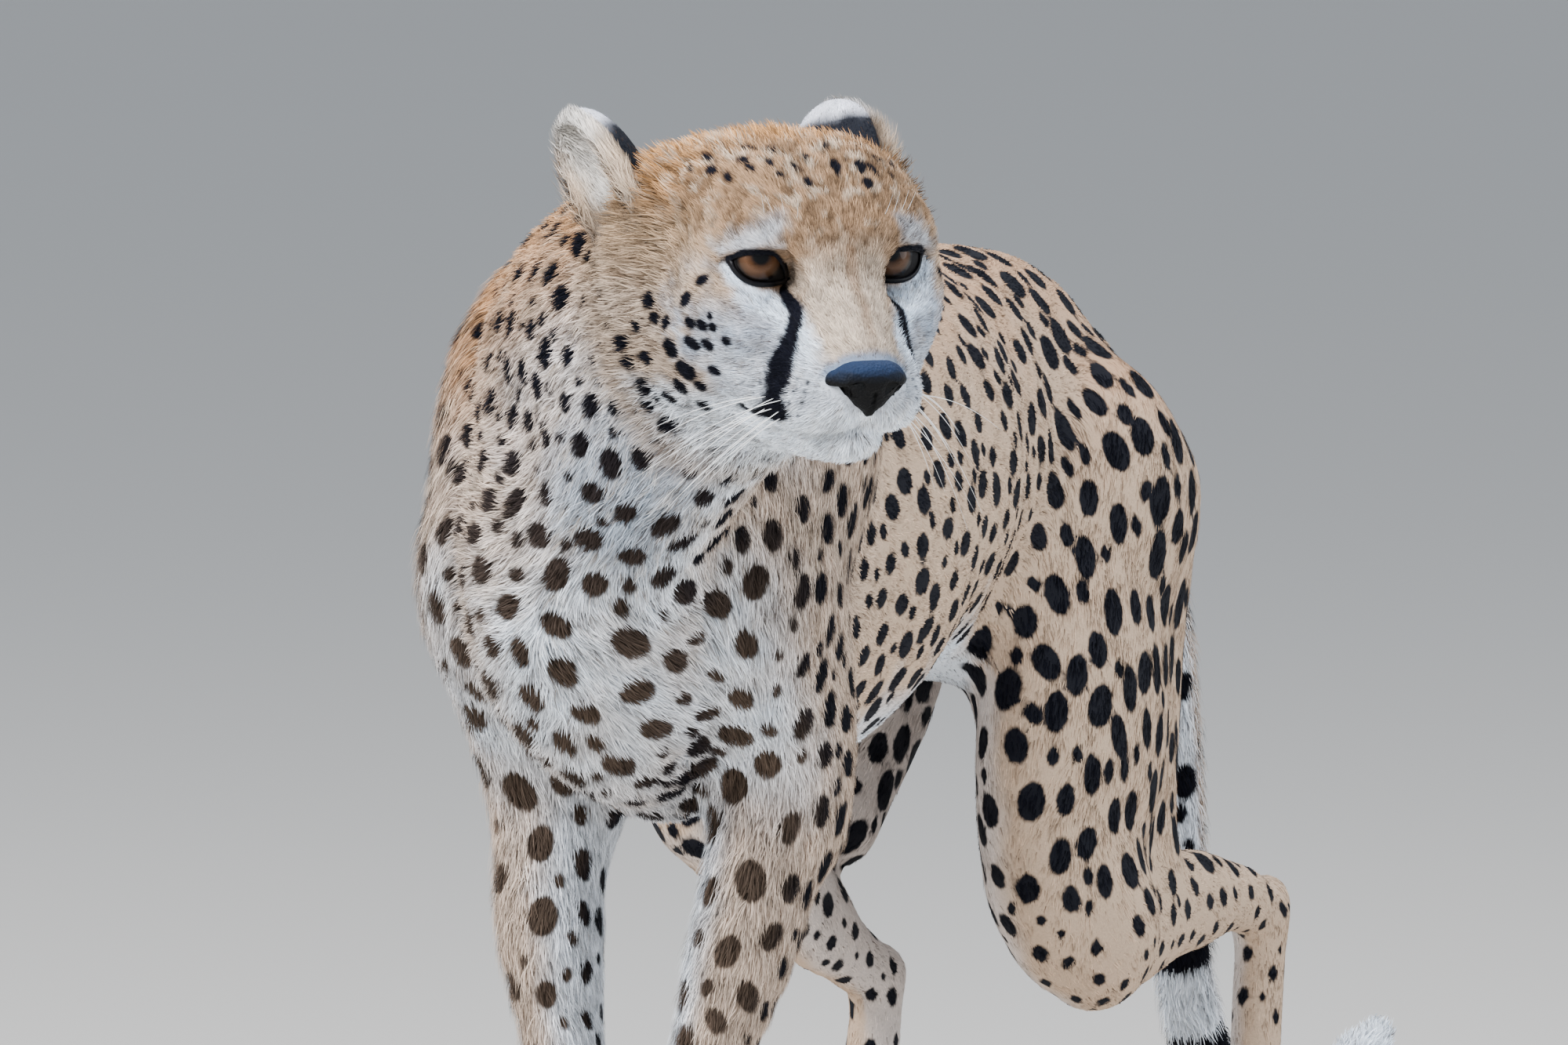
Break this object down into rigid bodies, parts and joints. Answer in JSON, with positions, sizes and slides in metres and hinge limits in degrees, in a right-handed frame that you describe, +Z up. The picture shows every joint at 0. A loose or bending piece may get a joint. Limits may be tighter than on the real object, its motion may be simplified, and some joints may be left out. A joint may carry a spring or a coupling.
{
  "type": "cheetah figure",
  "caption": "Life-size cheetah in a slow stalking walk, head turned to its left, resting on four flat-soled paws.",
  "frame": {"origin": "middle of the bounding box at floor level, between the four paws", "axes": "+Z up; -Y forward along the animal's back, towards the head; +X to the animal's own left"},
  "size_m": [0.3488, 1.3634, 0.7032],
  "materials": {
    "spotted_fur": "short matte fur, tan with near-black spots, white below",
    "nose_leather": "bare black nose leather with a fine grain and a soft sheen",
    "eye": "wet, glossy, amber-brown iris with a dark pupil"
  },
  "bodies": {
    "root": {"torso_chest": "spotted_fur", "torso_loin": "spotted_fur", "torso_rump": "spotted_fur", "neck": "spotted_fur", "head_face": "spotted_fur", "head_crown": "spotted_fur", "nose": "nose_leather", "ear_left": "spotted_fur", "ear_right": "spotted_fur", "eye_left": "eye", "eye_right": "eye", "foreleg_left_upper": "spotted_fur", "foreleg_left_lower": "spotted_fur", "foreleg_left_paw": "spotted_fur", "foreleg_right_upper": "spotted_fur", "foreleg_right_lower": "spotted_fur", "foreleg_right_paw": "spotted_fur", "hind_left_thigh": "spotted_fur", "hind_left_shank": "spotted_fur", "hind_left_heel": "spotted_fur", "hind_left_paw": "spotted_fur", "hind_right_thigh": "spotted_fur", "hind_right_shank": "spotted_fur", "hind_right_heel": "spotted_fur", "hind_right_paw": "spotted_fur", "tail_root": "spotted_fur", "tail_middle": "spotted_fur", "tail_tip": "spotted_fur"}
  },
  "joints": []
}
